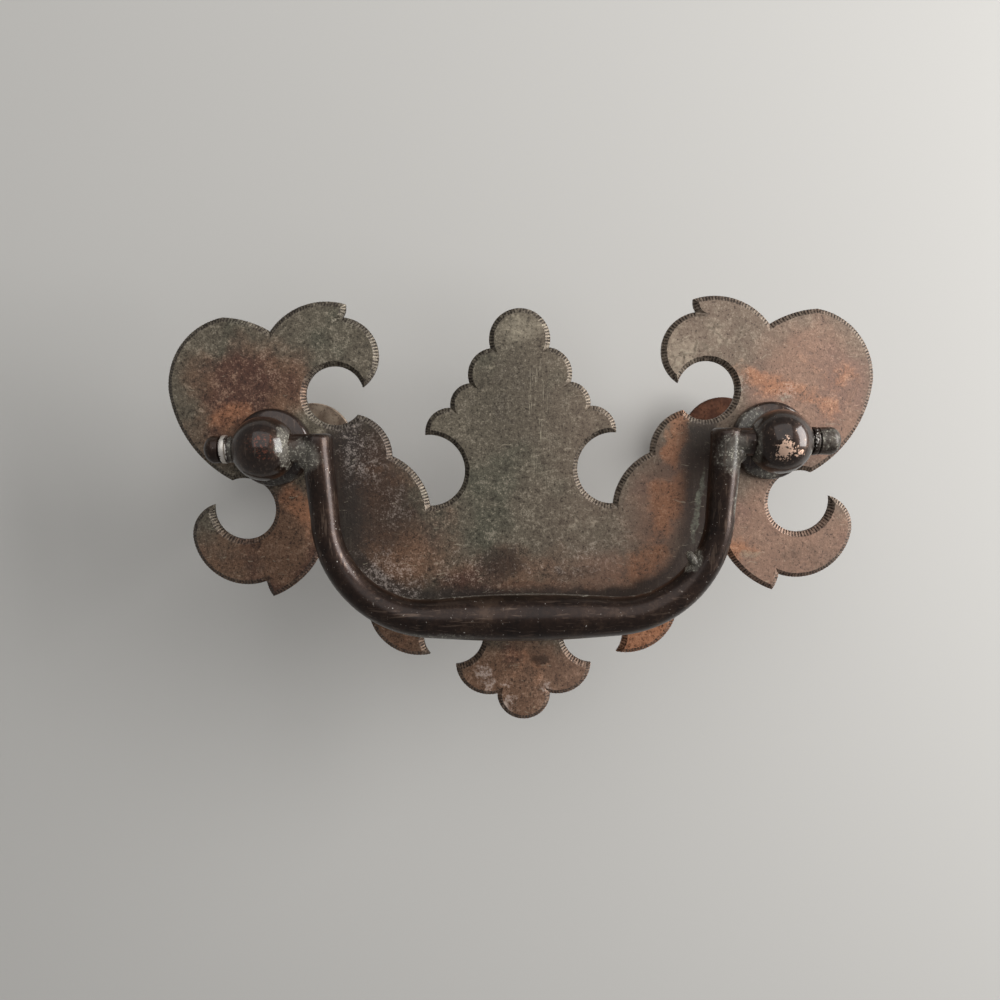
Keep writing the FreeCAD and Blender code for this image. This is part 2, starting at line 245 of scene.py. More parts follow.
class Tone:
    """A value or a colour of a finish that varies over the metal, so that finishes read as sums."""

    def __init__(self, tree, socket):
        self.tree = tree
        self.socket = socket

    def node(self, kind, settings, inputs, out=0):
        made = self.tree.nodes.new(kind)
        for name, value in settings.items():
            setattr(made, name, value)
        for key, value in inputs.items():
            if isinstance(value, Tone):
                self.tree.links.new(value.socket, made.inputs[key])
            else:
                made.inputs[key].default_value = value
        return Tone(self.tree, made.outputs[out])

    def math(self, operation, first, second=0.0):
        return self.node("ShaderNodeMath", {"operation": operation}, {0: first, 1: second})

    def __add__(self, other):
        return self.math("ADD", self, other)

    def __sub__(self, other):
        return self.math("SUBTRACT", self, other)

    def __mul__(self, other):
        return self.math("MULTIPLY", self, other)

    def __rsub__(self, other):
        return self.math("SUBTRACT", other, self)

    __radd__ = __add__
    __rmul__ = __mul__

    def most(self, other):
        return self.math("MAXIMUM", self, other)

    def unsigned(self):
        return self.math("ABSOLUTE", self)

    def root(self):
        return self.math("SQRT", self)

    def along(self, axis):
        """This place's distance from the drawing's origin along X, Y or Z, in millimetres."""
        return self.node("ShaderNodeSeparateXYZ", {}, {0: self}, out="XYZ".index(axis)) * (1 / MM)

    def between(self, low, high):
        """0 below low, 1 above high, and an even swell from one to the other."""
        limits = {"Value": self, "From Min": low, "From Max": high}
        return self.node("ShaderNodeMapRange", {"interpolation_type": "SMOOTHSTEP"}, limits)

    def from_to(self, low, high):
        """The first colour where this is 0, the second where it is 1, and a blend between."""
        return self.node("ShaderNodeMix", {"data_type": "RGBA"}, {0: self, 6: low, 7: high}, out=2)

    def under(self, colour, mask):
        """This colour with another laid over it where the mask is 1."""
        return self.node("ShaderNodeMix", {"data_type": "RGBA"}, {0: mask, 6: self, 7: colour}, out=2)

    def noise(self, size, detail=2.0, rough=0.5, out=0):
        """Cloudy grain with lumps of about the given size in millimetres."""
        inputs = {"Vector": self, "Scale": 1 / (size * MM), "Detail": detail, "Roughness": rough}
        return self.node("ShaderNodeTexNoise", {}, inputs, out)

    def warped(self, size, reach):
        """This place, wandering by the given reach in millimetres."""
        push = self.noise(size, 3.0, 0.6, out=1)
        kind = "ShaderNodeVectorMath"
        centred = self.node(kind, {"operation": "SUBTRACT"}, {0: push, 1: (0.5, 0.5, 0.5)})
        scaled = self.node(kind, {"operation": "SCALE"}, {0: centred, "Scale": reach * MM * 2})
        return self.node(kind, {"operation": "ADD"}, {0: self, 1: scaled})

    def patch(self, x, z, width, height, turn=0.0, soft=0.5, y=0.0, depth=1000.0):
        """1 inside an oval on the piece and 0 outside it; sizes in millimetres, turn in degrees."""
        inputs = {"Vector": self, "Location": (x * MM, y * MM, z * MM),
                  "Rotation": (0, math.radians(-turn), 0),
                  "Scale": (width / 2 * MM, depth / 2 * MM, height / 2 * MM)}
        oval = self.node("ShaderNodeMapping", {"vector_type": "TEXTURE"}, inputs)
        reach = self.node("ShaderNodeVectorMath", {"operation": "LENGTH"}, {0: oval}, out=1)
        return 1 - reach.between(1 - soft, 1 + soft)

    def stretched(self, x, y, z, turn=0.0):
        """This place squeezed along its axes, for grain that runs one way."""
        inputs = {"Vector": self, "Rotation": (0, math.radians(turn), 0), "Scale": (x, y, z)}
        return self.node("ShaderNodeMapping", {}, inputs)


def tint(red, green, blue):
    """A colour as a screen shows it, 0 to 255, as the light that it stands for."""
    light = [(part / 255 / 12.92 if part < 10.3 else ((part / 255 + 0.055) / 1.055) ** 2.4)
             for part in (red, green, blue)]
    return (*light, 1.0)


def start_finish(name):
    """A new material with its shader, and the place on the piece that its patterns follow."""
    material = bpy.data.materials.new(name)
    material.use_nodes = True
    tree = material.node_tree
    shader = tree.nodes["Principled BSDF"]
    place = Tone(tree, tree.nodes.new("ShaderNodeTexCoord").outputs["Object"])
    return material, shader, place


def lay(tone, shader, name):
    tone.tree.links.new(tone.socket, shader.inputs[name])


def relief(height, strength, distance):
    """Turns a height into dents and bumps of the given depth in millimetres."""
    inputs = {"Height": height, "Strength": strength, "Distance": distance * MM}
    return height.node("ShaderNodeBump", {}, inputs)


def spread(place, spots, soft):
    """The strongest of many soft ovals: X, Z, width, height, turn and strength of each."""
    mask = 0.0
    for x, z, width, height, turn, strength in spots:
        oval = place.patch(x, z, width, height, turn, soft) * strength
        mask = oval.most(mask)
    return mask


# Fields of the patina, as soft ovals on the plate: X, Z, width, height, turn and strength of each.
# Brown where the olive skin is thin: both wings, the hooks, the foot, the lobes and the pendant.
BROWN_FIELDS = [
    (-41.5, 9.0, 17, 14, 10, 0.9), (-44, 2.5, 15, 9, 10, 0.9), (-38, -15.5, 17, 19, -30, 1.0),
    (-47, -17, 10, 8, 0, 0.7), (44, 6, 19, 21, 0, 1.0), (39, -16.5, 19, 18, 25, 1.0),
    (47, -15, 10, 9, 0, 0.7), (24, -9, 14, 18, -30, 0.8), (-24.5, -5, 13, 16, 35, 0.85),
    (-20, -17, 18, 16, 20, 0.8), (17, -22, 26, 9, 12, 0.85), (-2, -21, 40, 9, 0, 0.6),
    (2, -25, 32, 8, 0, 0.9), (0, -38, 24, 13, 0, 1.0), (-20, -30, 13, 12, 0, 1.0),
    (20, -30, 13, 12, 0, 1.0)]

# Bare copper, bright and orange: the right lobe, and rubbed places on both wings and by the arms.
RIGHT_LOBE = (19.5, -31.5, 14, 9)
BARE_COPPER = [
    (-45.2, 4.6, 8, 4.0, 15, 0.9), (-47, 0.8, 4, 2, 0, 0.6), (-34.8, -9.5, 4.5, 9, 15, 1.0),
    (*RIGHT_LOBE, 10, 1.9), (24.0, 0.0, 4.6, 10, -12, 1.4), (22.5, -9.0, 6, 12, -12, 1.0),
    (38.0, 9.2, 13, 4.5, -20, 0.9), (44.5, 5.8, 9, 4.0, -35, 0.8), (46.5, 10.0, 9, 7, 0, 0.45),
    (19.5, -18.0, 10, 6, 35, 0.85), (33.5, -17, 6, 4, 10, 0.9), (12, -22.5, 14, 2.5, 5, 0.6),
    (0, -35.5, 9, 6, 0, 0.6), (-3, -37, 6, 3, 0, 0.4), (-19.5, -31, 8, 5, 0, 0.4),
    (-28, -13.5, 4, 6, 20, 0.45)]

# Worn pale and crackled: the right beak and the finial's top most of all.
PALE_PLACES = [
    (24.8, 12.8, 6, 9, 20, 0.8), (28.5, 16, 12, 6, 0, 0.5), (0.3, 17.6, 7, 5, 0, 0.8),
    (2.5, 4, 4, 6, 0, 0.2), (10, -13, 12, 6, 0, 0.35)]

# Dark clouds in the patina.
SMOKE = [
    (-3, -18.5, 8, 6, 0, 1.0), (8, -20.5, 12, 4, 0, 0.6), (-23, 0.5, 11, 10, 30, 1.1),
    (-22, -9, 13, 17, 20, 1.0), (-14, -21.5, 14, 3.5, 0, 0.6), (2.6, -34.2, 3, 2, 0, 0.9),
    (-50, -14, 6, 12, 0, 0.5), (-10, -16, 12, 6, 0, 0.4), (-1, 7, 17, 24, 0, 0.5),
    (-16, -9, 9, 12, 0, 0.3), (48, -16, 7, 10, 0, 0.35), (52, 8, 5, 16, 0, 0.35),
    (-45, -18, 14, 7, 0, 0.55), (45, 0.5, 9, 6, 0, 0.45), (44, -19, 14, 7, 0, 0.5)]

# Pale crust: sparse specks beside the left arm and along the foot of the bail, thick on the pendant.
SPARSE_CRUST = [
    (-25, -1, 7, 12, 15, 0.95), (-19.5, -9, 8, 8, -30, 0.6), (-21, -21, 12, 8, -35, 1.0),
    (-10, -20, 14, 8, 0, 0.6), (7, -19, 22, 8, 0, 0.6), (34, 9.0, 3.5, 3.5, 0, 1.1),
    (41, 7.5, 3.5, 3, 0, 0.8), (-38, 12, 8, 6, 0, 0.35), (-31.5, 11, 5, 3, 0, 0.5)]
THICK_CRUST = [
    (-6.2, -36.6, 4.0, 5.0, 20, 1.0), (-1.8, -41.3, 3.6, 3.8, 0, 1.0),
    (3.2, -38.8, 2.6, 2.2, 0, 0.9), (-2.2, -38.2, 3, 2, 0, 0.6)]

# Pale grey-green: a streak beside the right arm, and verdigris spots on the right hook, wing and beak.
GREEN_MARKS = [
    (27.5, -10.2, 1.2, 11.5, -8, 0.9), (35.6, -17.8, 3.2, 1.6, 0, 0.8), (33.6, 8.8, 2.6, 3.4, 0, 0.6),
    (40.6, 6.4, 2.4, 1.4, 0, 0.6), (24.6, 12.5, 4.5, 7, 0, 0.4), (24, 15.5, 3, 3, 0, 0.3)]

# A bundle of scratches down the finial's right: X, Z, width, height and turn.
SCRATCH_BUNDLE = (2.6, 5.0, 3.2, 15, -3)

# Where the bail hangs over the plate: centre X and Z of its right bend, and the bend's radius.
BEND_OVER = (13.9, -10.5, 15.5)


def bail_shadow_and_grime(near, place, mottle):
    """A dark band on the plate beside the bail's arms and along the top of its grip: a painted shadow of
    the bail, partly dirt that polish never reaches.
    """
    centre_x, centre_z, radius = BEND_OVER
    height = near.along("Z")
    aside = (place.along("X").unsigned() + (mottle - 0.5) * 1.6 - centre_x).most(0.0)
    below = (centre_z - height).most(0.0)
    from_bail = (aside * aside + below * below).root() - radius
    within = 1 - from_bail.between(0.2, 1.8)
    beside_arm = from_bail.between(-6.8, -3.0) * height.between(-21.0, -14.0) * within
    by_grip = from_bail.between(-4.4, -2.5) * within
    return beside_arm.most(by_grip) * (1 - height.between(1.5, 5.0))


def scratch_mask(place, mottle):
    """Long hair lines across the face, and a bundle of them down the finial's right."""
    hair = place.stretched(1, 1, 0.05, 4).noise(0.22, 2.0, 0.6)
    bundle = place.patch(*SCRATCH_BUNDLE, 0.6)
    upright = hair.between(0.54, 0.64) * mottle.between(0.38, 0.6) * (bundle * 0.9 + 0.06)
    swirl = place.warped(6.0, 2.0).stretched(0.06, 1, 1, 35).noise(0.3, 1.0, 0.5)
    return upright.most(swirl.between(0.7, 0.76) * 0.5)


def crackle_mask(near, mottle):
    """A net of fine cracks, broken here and there."""
    cells = near.node("ShaderNodeTexVoronoi", {"feature": "DISTANCE_TO_EDGE"},
                      {"Vector": near, "Scale": 1 / (1.9 * MM)})
    return (1 - cells.between(0.02, 0.15)) * mottle.between(0.42, 0.62)


def patina_finish(name, rubbed, dirty):
    """Dull brass: olive patina, thin brown and bare copper fields, a paler pinker right half that is partly
    painted sheen, a painted shadow of the bail that is partly dirt, pale specks and scratches.
    The bevel is the same skin, rubbed pale on its lands, with dirt in its nicks."""
    material, shader, place = start_finish(name)
    near = place.warped(2.5, 1.0)
    loose = near.warped(9.0, 3.2)
    cloud = place.noise(6.0, 5.0, 0.62)
    mottle = place.noise(1.8, 4.0, 0.65)
    fine = place.noise(0.55, 4.0, 0.7)
    grit = place.noise(0.24, 2.0, 0.6)
    drift = place.noise(16.0, 3.0, 0.6) - 0.5
    grain = (mottle - 0.5) * 1.6 + (fine - 0.5) * 2.2 + (grit - 0.5) * 1.5
    light_grain = grain.between(0.0, 0.6)
    dark_grain = (0 - grain).between(0.0, 0.6)

    # olive skin and brown skin, each drifting between two tones
    patina = drift.between(0.0, 0.14).from_to(tint(94, 86, 73), tint(84, 81, 68))
    patina = patina.under(tint(150, 141, 124), light_grain * 0.75)
    patina = patina.under(tint(46, 41, 34), dark_grain * 0.8)
    brown = drift.between(-0.02, 0.12).from_to(tint(110, 81, 62), tint(84, 54, 44))
    brown = brown.under(tint(156, 122, 100), light_grain * 0.75)
    brown = brown.under(tint(48, 34, 28), dark_grain * 0.8)
    brown_field = spread(loose, BROWN_FIELDS, 0.6) * 1.1 + (cloud - 0.5) + (mottle - 0.5) * 0.35
    brown_field = brown_field.between(0.1, 0.95) * 0.92
    colour = patina.under(brown, brown_field)

    # pale worn places, a paler pinker tone over the right half that is partly the patina's own and partly
    # painted sheen from the window on the right, and bare copper
    pale = spread(near, PALE_PLACES, 0.7)
    worn = (pale + (mottle - 0.5) * 1.2 + (fine - 0.5) * 0.8).between(0.2, 1.1)
    right_tint_and_sheen = place.along("X").between(-6.0, 24.0)
    bright = spread(loose, BARE_COPPER, 0.8) + (cloud - 0.5) * 1.6 + (mottle - 0.5) * 1.1
    bright = (bright + (fine - 0.5) * 0.5).between(0.35, 1.15)
    copper = grain.between(0.1, 0.8).from_to(tint(178, 124, 92), tint(210, 160, 126))
    copper = copper.under(tint(100, 66, 48), dark_grain)
    colour = colour.under(tint(168, 158, 138), worn * 0.6)
    # painted sheen towards the right, partly the patina's own pinker tone
    colour = colour.under(tint(176, 144, 127), right_tint_and_sheen * (0.23 + brown_field * 0.15))
    colour = colour.under(copper, bright * 0.66 + place.patch(*RIGHT_LOBE) * 0.3)

    # dark clouds, and the painted shadow of the bail on the plate, partly dirt
    front = 1 - place.along("Y").between(-0.9, -0.3)
    smoke = (spread(near, SMOKE, 0.7) + (mottle - 0.5) * 1.6).between(0.3, 1.0)
    bail_shade_and_grime = bail_shadow_and_grime(near, place, mottle) * front
    colour = colour.under(tint(42, 32, 27), smoke * 0.76)
    # painted shadow of the bail on the plate, partly dirt
    colour = colour.under(tint(34, 26, 21), bail_shade_and_grime * 0.88)

    # pale crust and pale grey-green marks
    sparse = spread(near, SPARSE_CRUST, 0.7)
    specks = grit * 0.45 + fine * 0.55 + sparse * 0.12 + (mottle - 0.5) * 0.45
    specks = specks.between(0.57, 0.75) * (sparse * 0.8 + 0.1)
    scabs = spread(near, THICK_CRUST, 0.8) * 0.5 + (fine - 0.5) * 1.2 + (mottle - 0.5) * 1.2
    crust = specks.most(scabs.between(0.35, 0.65) * 0.9) * front
    green = (spread(near, GREEN_MARKS, 0.6) + (fine - 0.5) * 1.1).between(0.35, 0.85)
    colour = colour.under(tint(172, 160, 152), crust * 0.55)
    colour = colour.under(tint(128, 134, 116), green * (mottle * 1.5 + fine * 1.3 - 1.0) * 0.75)

    # small dark pits and pale nicks over the whole face, scratches and crackle
    speckle = grit * 0.5 + fine * 0.5
    colour = colour.under(tint(34, 27, 22), (1 - speckle).between(0.56, 0.64) * 0.7)
    colour = colour.under(tint(176, 160, 140), speckle.between(0.6, 0.68) * 0.35)
    colour = colour.under(tint(180, 170, 148), scratch_mask(place, mottle) * 0.6)
    colour = colour.under(tint(72, 62, 50), crackle_mask(near, mottle) * (pale + 0.12) * 0.8)

    if rubbed:
        colour = colour.under(tint(150, 141, 131), fine.between(0.3, 0.62) * rubbed)
        colour = colour.under(tint(44, 36, 31), (1 - fine.between(0.4, 0.7)) * dirty)
    lay(colour, shader, "Base Color")
    rough = 0.55 + crust * 0.25 + bail_shade_and_grime * 0.12 - bright * 0.1 + grain * 0.12 - rubbed * 0.17
    lay(rough, shader, "Roughness")
    metal = 0.5 - crust * 0.45 - green * 0.3 - bail_shade_and_grime * 0.3 + bright * 0.15 + rubbed
    lay(metal, shader, "Metallic")
    height = cloud * 0.5 + mottle * 0.3 + fine * 0.26 + grit * 0.12
    lay(relief(height, 0.6, 0.24), shader, "Normal")
    return material


# The face is as it is, the lands between the nicks are rubbed, and the nicks hold dirt.
plate = make_plate([patina_finish("plate_patina", 0.0, 0.0),
                    patina_finish("plate_rim_lands", 0.25, 0.2),
                    patina_finish("plate_rim_nicks", 0.1, 0.9)])
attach(plate, "fixed")
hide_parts("backplate")


# Posts
# Cast and turned brass, one each side: a ball with two flat cheeks on a stepped round flange, and a
# shank with a cut thread that goes through the plate and the drawer front. Handled dark and glossy.

BALL_Y = -6.2
BALL_R = 4.75
CHEEK = 4.1
CHEEK_ROUND = 0.18
FLANGE_R = 5.95
FLANGE_FACE = -1.85
FLANGE_ROUND = 0.85
FLANGE_STEPS = [(4.3, -2.85), (3.75, -2.95), (3.4, -3.2), (0, -3.2)]
SHANK_R = 2.0
SHANK_END = 29.9
THREAD_START = 18.0
THREAD_PITCH = 0.8
THREAD_DEEP = 0.35
THREAD_SIDES = 20


def turned(mesh, profile, axis_point, axis, steps):
    """Turns a profile, given as radius and distance along the axis, into a closed round shape."""
    x, y, z = axis_point
    if axis == "Y":
        points = [mesh.verts.new((x + radius, along, z)) for radius, along in profile]
        direction = (0, 1, 0)
    else:
        points = [mesh.verts.new((along, y, z + radius)) for radius, along in profile]
        direction = (1, 0, 0)
    edges = [mesh.edges.new(pair) for pair in zip(points, points[1:])]
    bmesh.ops.spin(mesh, geom=points + edges, cent=axis_point, axis=direction, angle=2 * math.pi,
                   steps=steps, use_merge=True)
    bmesh.ops.remove_doubles(mesh, verts=mesh.verts[:], dist=MERGE)


def arc_profile(centre, radius, first, last, steps):
    """Points along an arc of a profile, each as radius and distance along the axis."""
    turns = [math.radians(first + (last - first) * step / steps) for step in range(steps + 1)]
    return [(max(centre[0] + radius * math.cos(turn), 0.0), centre[1] + radius * math.sin(turn))
            for turn in turns]


def make_post(side, material):
    x = side * POST_X
    mesh = bmesh.new()
    turned(mesh, arc_profile((0, BALL_Y), BALL_R, -90, 90, 48), (x, 0, 0), "Y", 96)
    for cheek in (-1, 1):
        everything = mesh.verts[:] + mesh.edges[:] + mesh.faces[:]
        cut = bmesh.ops.bisect_plane(mesh, geom=everything, dist=1e-5, plane_no=(cheek, 0, 0),
                                     plane_co=(x + cheek * CHEEK, BALL_Y, 0), clear_outer=True)["geom_cut"]
        rim = [piece for piece in cut if isinstance(piece, bmesh.types.BMEdge)]
        cap = bmesh.ops.contextual_create(mesh, geom=rim)["faces"]
        edges = list({edge for face in cap for edge in face.edges})
        bmesh.ops.bevel(mesh, geom=edges, offset=CHEEK_ROUND, segments=2, profile=0.5, affect="EDGES",
                        material=-1)
    flange = [(0, -PLATE_THICK), (FLANGE_R, -PLATE_THICK), (FLANGE_R, FLANGE_FACE)]
    flange += arc_profile((FLANGE_R - FLANGE_ROUND, FLANGE_FACE), FLANGE_ROUND, 0, -78, 8)
    turned(mesh, flange + FLANGE_STEPS, (x, 0, 0), "Y", 96)
    root_r = SHANK_R - THREAD_DEEP
    shank = [(0, -PLATE_THICK - 0.1), (SHANK_R, -PLATE_THICK - 0.1), (SHANK_R, THREAD_START),
             (root_r, THREAD_START + 0.3), (root_r, SHANK_END), (0, SHANK_END)]
    turned(mesh, shank, (x, 0, 0), "Y", 32)
    rounds = int((SHANK_END - THREAD_START - 0.3) / THREAD_PITCH) - 1
    start = THREAD_START + 0.2
    section = ((root_r, 0), (SHANK_R, 0.42), (SHANK_R, 0.58), (root_r, 1))
    points = [mesh.verts.new((x + radius, start + THREAD_PITCH * share, 0)) for radius, share in section]
    edges = [mesh.edges.new(pair) for pair in zip(points, points[1:])]
    bmesh.ops.spin(mesh, geom=points + edges, cent=(x, 0, 0), axis=(0, 1, 0), angle=2 * math.pi * rounds,
                   dvec=(0, THREAD_PITCH / THREAD_SIDES, 0), steps=THREAD_SIDES * rounds)
    name = "post_left_turned" if side < 0 else "post_right_turned"
    return finish_mesh(mesh, name, [material], smooth=35)


def bronze_finish(name, coat, coat_rough, bare_and_glint_tone, rubbed, deposits_and_reflection):
    """Dark handled brass: near black-brown and glossy, rubbed bare in spots, with a grey-green crust in
    others; one pale patch is a painted reflection, and the pin rings carry a painted highlight.
    Each spot has its place and its sizes along X, Y and Z, and how thick it lies."""
    material, shader, place = start_finish(name)
    loose = place.warped(2.2, 0.9)
    cloud = place.noise(3.5, 4.0, 0.6)
    fine = place.noise(0.55, 4.0, 0.7)
    grit = place.noise(0.28, 2.0, 0.6)
    low = 1 - place.along("Z").between(-23.0, -18.0)
    drawn = place.stretched(1, 1, 0.12).noise(0.45, 3.0, 0.6) * (1 - low)
    drawn = drawn + place.stretched(0.12, 1, 1).noise(0.45, 3.0, 0.6) * low

    def spots(marks):
        mask = 0.0
        for x, y, z, width, depth, tall, strength in marks:
            mask = (loose.patch(x, z, width, tall, 0, 0.55, y, depth) * strength).most(mask)
        return mask

    shade = cloud * 0.6 + fine * 0.4
    colour = (shade.between(0.48, 0.68) * 0.7).from_to(tint(42, 28, 21), tint(80, 62, 50))
    colour = colour.under(tint(23, 13, 9), (1 - shade.between(0.34, 0.5)) * 0.8)
    colour = colour.under(tint(124, 104, 90), drawn.between(0.56, 0.72) * 0.35)

    # bare copper shows through in broken flakes; on the bail's pin rings it is painted near white as a
    # highlight on rubbed metal
    bare = (spots(rubbed) + (fine - 0.5) * 2.2 + (grit - 0.5) * 2.2).between(0.55, 0.85)
    colour = colour.under(bare_and_glint_tone, bare * 0.9)

    # a dull grey-green crust with pale flecks in it; the patch on the left ball's right edge is a painted
    # reflection of the bail's elbow
    film_and_reflection = (spots(deposits_and_reflection) + (fine - 0.5) * 1.1).between(0.25, 0.85)
    flecks = (grit * 0.5 + fine * 0.5 + film_and_reflection * 0.09).between(0.61, 0.68)
    colour = colour.under(tint(94, 90, 82), film_and_reflection * 0.75)
    colour = colour.under(tint(172, 168, 154), flecks * (film_and_reflection * 0.7 + 0.03))

    lay(colour, shader, "Base Color")
    rough = 0.42 + (fine - 0.5) * 0.24 + (cloud - 0.5) * 0.15 + film_and_reflection * 0.3 + bare * 0.1 + flecks * 0.1
    lay(rough, shader, "Roughness")
    lay(0.85 - film_and_reflection * 0.45 + bare * 0.1, shader, "Metallic")
    shader.inputs["Coat Weight"].default_value = coat
    shader.inputs["Coat Roughness"].default_value = coat_rough
    height = cloud * 0.4 + fine * 0.2 + drawn * 0.12 + film_and_reflection * 0.2 - bare * 0.12
    lay(relief(height, 0.3, 0.1), shader, "Normal")
    return material


LEFT_RUBBED = [(-37.0, -10.8, 0.6, 4.4, 3, 4.6, 0.5)]
# Grey-green crust on the left post; its first patch, on the ball's right edge, is a painted reflection of
# the bail's elbow.
LEFT_DEPOSITS_AND_REFLECTION = [
    (-34.2, -6.2, -2.5, 1.4, 9, 4, 0.7), (-34.6, -8.6, 0.4, 2.0, 4, 6, 0.9),
    (-36.5, -2.8, -5.2, 9, 3, 3, 0.6), (-42.0, -6.2, 0, 1.0, 9, 7, 0.5)]
RIGHT_RUBBED = [(37.4, -10.9, -0.9, 2.4, 3.4, 3.4, 1.0), (39.4, -10.4, -1.6, 1.6, 3, 1.4, 0.8)]
RIGHT_DEPOSITS = [
    (34.3, -6.2, -1.0, 1.2, 9, 8, 0.8), (41.8, -6.2, -1.5, 1.2, 9, 6, 0.7),
    (34.5, -2.6, 3.5, 6, 2, 4, 0.7), (35.5, -2.8, -5.2, 9, 3, 3, 0.7)]
left_bronze = bronze_finish("post_left_bronze", 0.7, 0.12, tint(104, 60, 46), LEFT_RUBBED, LEFT_DEPOSITS_AND_REFLECTION)
right_bronze = bronze_finish("post_right_bronze", 0.7, 0.12, tint(236, 200, 176), RIGHT_RUBBED,
                             RIGHT_DEPOSITS)
for side, node, material in ((-1, "post_left", left_bronze), (1, "post_right", right_bronze)):
    post = make_post(side, material)
    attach(post, "fixed")
    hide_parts(node)


# Washers and nuts
# A stamped brass washer and a square nut draw each shank up behind the drawer front. They have seen
# little wear, and the right washer is the redder of the two.

WASHER_R = 7.25
WASHER_HOLE = 2.2
WASHER_ROUND = 0.15
WASHER_FRONT = 24.5
WASHER_BACK = 25.5
NUT_HALF = 3.5
NUT_HOLE = 2.05
NUT_ROUND = 0.3
NUT_BACK = 28.5


def make_washer(side, material):
    mesh = bmesh.new()
    inner, outer = WASHER_HOLE + 0.1, WASHER_R - WASHER_ROUND
    profile = [(WASHER_HOLE, WASHER_FRONT + 0.08), (inner, WASHER_FRONT), (outer, WASHER_FRONT),
               (WASHER_R, WASHER_FRONT + WASHER_ROUND), (WASHER_R, WASHER_BACK - WASHER_ROUND),
               (outer, WASHER_BACK), (inner, WASHER_BACK), (WASHER_HOLE, WASHER_BACK - 0.08),
               (WASHER_HOLE, WASHER_FRONT + 0.08)]
    turned(mesh, profile, (side * POST_X, 0, 0), "Y", 72)
    name = "washer_left_disc" if side < 0 else "washer_right_disc"
    return finish_mesh(mesh, name, [material], smooth=30)


def make_nut(side, material):
    mesh = bmesh.new()
    hole = bmesh.ops.create_circle(mesh, segments=32, radius=NUT_HOLE)["verts"]
    rim = bmesh.ops.create_circle(mesh, segments=4, radius=NUT_HALF * math.sqrt(2))["verts"]
    place = Matrix.Translation((side * POST_X, WASHER_BACK, 0)) @ Matrix.Rotation(math.pi / 2, 4, "X")
    bmesh.ops.rotate(mesh, verts=rim, matrix=Matrix.Rotation(math.pi / 4, 3, "Z"))
    bmesh.ops.transform(mesh, matrix=place, verts=hole + rim)
    bmesh.ops.triangle_fill(mesh, edges=mesh.edges[:], use_beauty=True, normal=(0, -1, 0))
    grown = bmesh.ops.extrude_face_region(mesh, geom=mesh.faces[:])["geom"]
    bmesh.ops.translate(mesh, vec=(0, NUT_BACK - WASHER_BACK, 0),
                        verts=[piece for piece in grown if isinstance(piece, bmesh.types.BMVert)])
    bmesh.ops.recalc_face_normals(mesh, faces=mesh.faces[:])
    outer = [edge for edge in mesh.edges if edge.calc_face_angle(0) > 0.5
             and (edge.verts[0].co - Vector((side * POST_X, edge.verts[0].co.y, 0))).length > NUT_HALF]
    bmesh.ops.bevel(mesh, geom=outer, offset=NUT_ROUND, segments=2, profile=0.5, affect="EDGES",
                    material=-1)
    name = "nut_left_square" if side < 0 else "nut_right_square"
    return finish_mesh(mesh, name, [material], smooth=30)


def fixing_finish(name, dark, light):
    """Brass that nobody polishes: a dull brown skin with lighter clouds and fine turning marks."""
    material, shader, place = start_finish(name)
    cloud = place.noise(2.2, 4.0, 0.6)
    fine = place.noise(0.4, 3.0, 0.6)
    colour = (cloud.between(0.4, 0.65) * (0.4 + fine * 0.8)).from_to(dark, light)
    lay(colour.under(tint(52, 40, 32), (1 - fine.between(0.3, 0.42)) * 0.7), shader, "Base Color")
    lay((0.5 + (fine - 0.5) * 0.5).between(0.0, 1.0), shader, "Roughness")
    shader.inputs["Metallic"].default_value = 0.6
    lay(relief(cloud * 0.5 + fine * 0.4, 0.4, 0.1), shader, "Normal")
    return material


washer_tones = {-1: fixing_finish("washer_left_brass", tint(132, 114, 98), tint(182, 164, 144)),
                1: fixing_finish("washer_right_brass", tint(70, 40, 26), tint(98, 62, 43))}
nut_brass = fixing_finish("nut_brass", tint(112, 88, 60), tint(150, 124, 90))
for side, hand in ((-1, "left"), (1, "right")):
    washer = make_washer(side, washer_tones[side])
    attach(washer, "fixed")
    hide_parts("washer_" + hand)
    nut = make_nut(side, nut_brass)
    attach(nut, "fixed")
    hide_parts("nut_" + hand)


# Bail
# One brass casting, filed and polished by hands: two arms that thicken through the bends into a
# swelling grip, and a pin turned outward from the top of each arm that ends in a ring and a nub.

ARM_X = 30.25
ARM_TOP_R = 2.35
ARM_R = 2.15
ARM_LEAN = 0.8
BAIL_DROP = 26.0
BEND_R = 15.5
GRIP_END_R = 2.95
GRIP_MID_R = 3.55
BEND_Z = BAIL_DROP - BEND_R
BEND_X = ARM_X - ARM_LEAN - BEND_R
PIN_R = 2.1
CHEEK_OUT = POST_X + CHEEK
NUB_START = 3.1
NUB_DOME = 1.58

# Where the ring on each pin begins and ends, past the ball's cheek: the left one stands further out.
RINGS = {-1: (1.2, 2.1), 1: (0.35, 1.25)}

# The web from each arm to its pin, and the cast lump inside the right bend: half sizes and place.
WEB = (2.2, 1.95, 2.2)
WEB_PLACE = (ARM_X + 1.0, BALL_Y, -1.25)
LUMP = (0.75, 1.2, 1.6)
LUMP_PLACE = (25.4, BALL_Y - 0.5, -17.5)
LUMP_TURN = math.radians(-30)


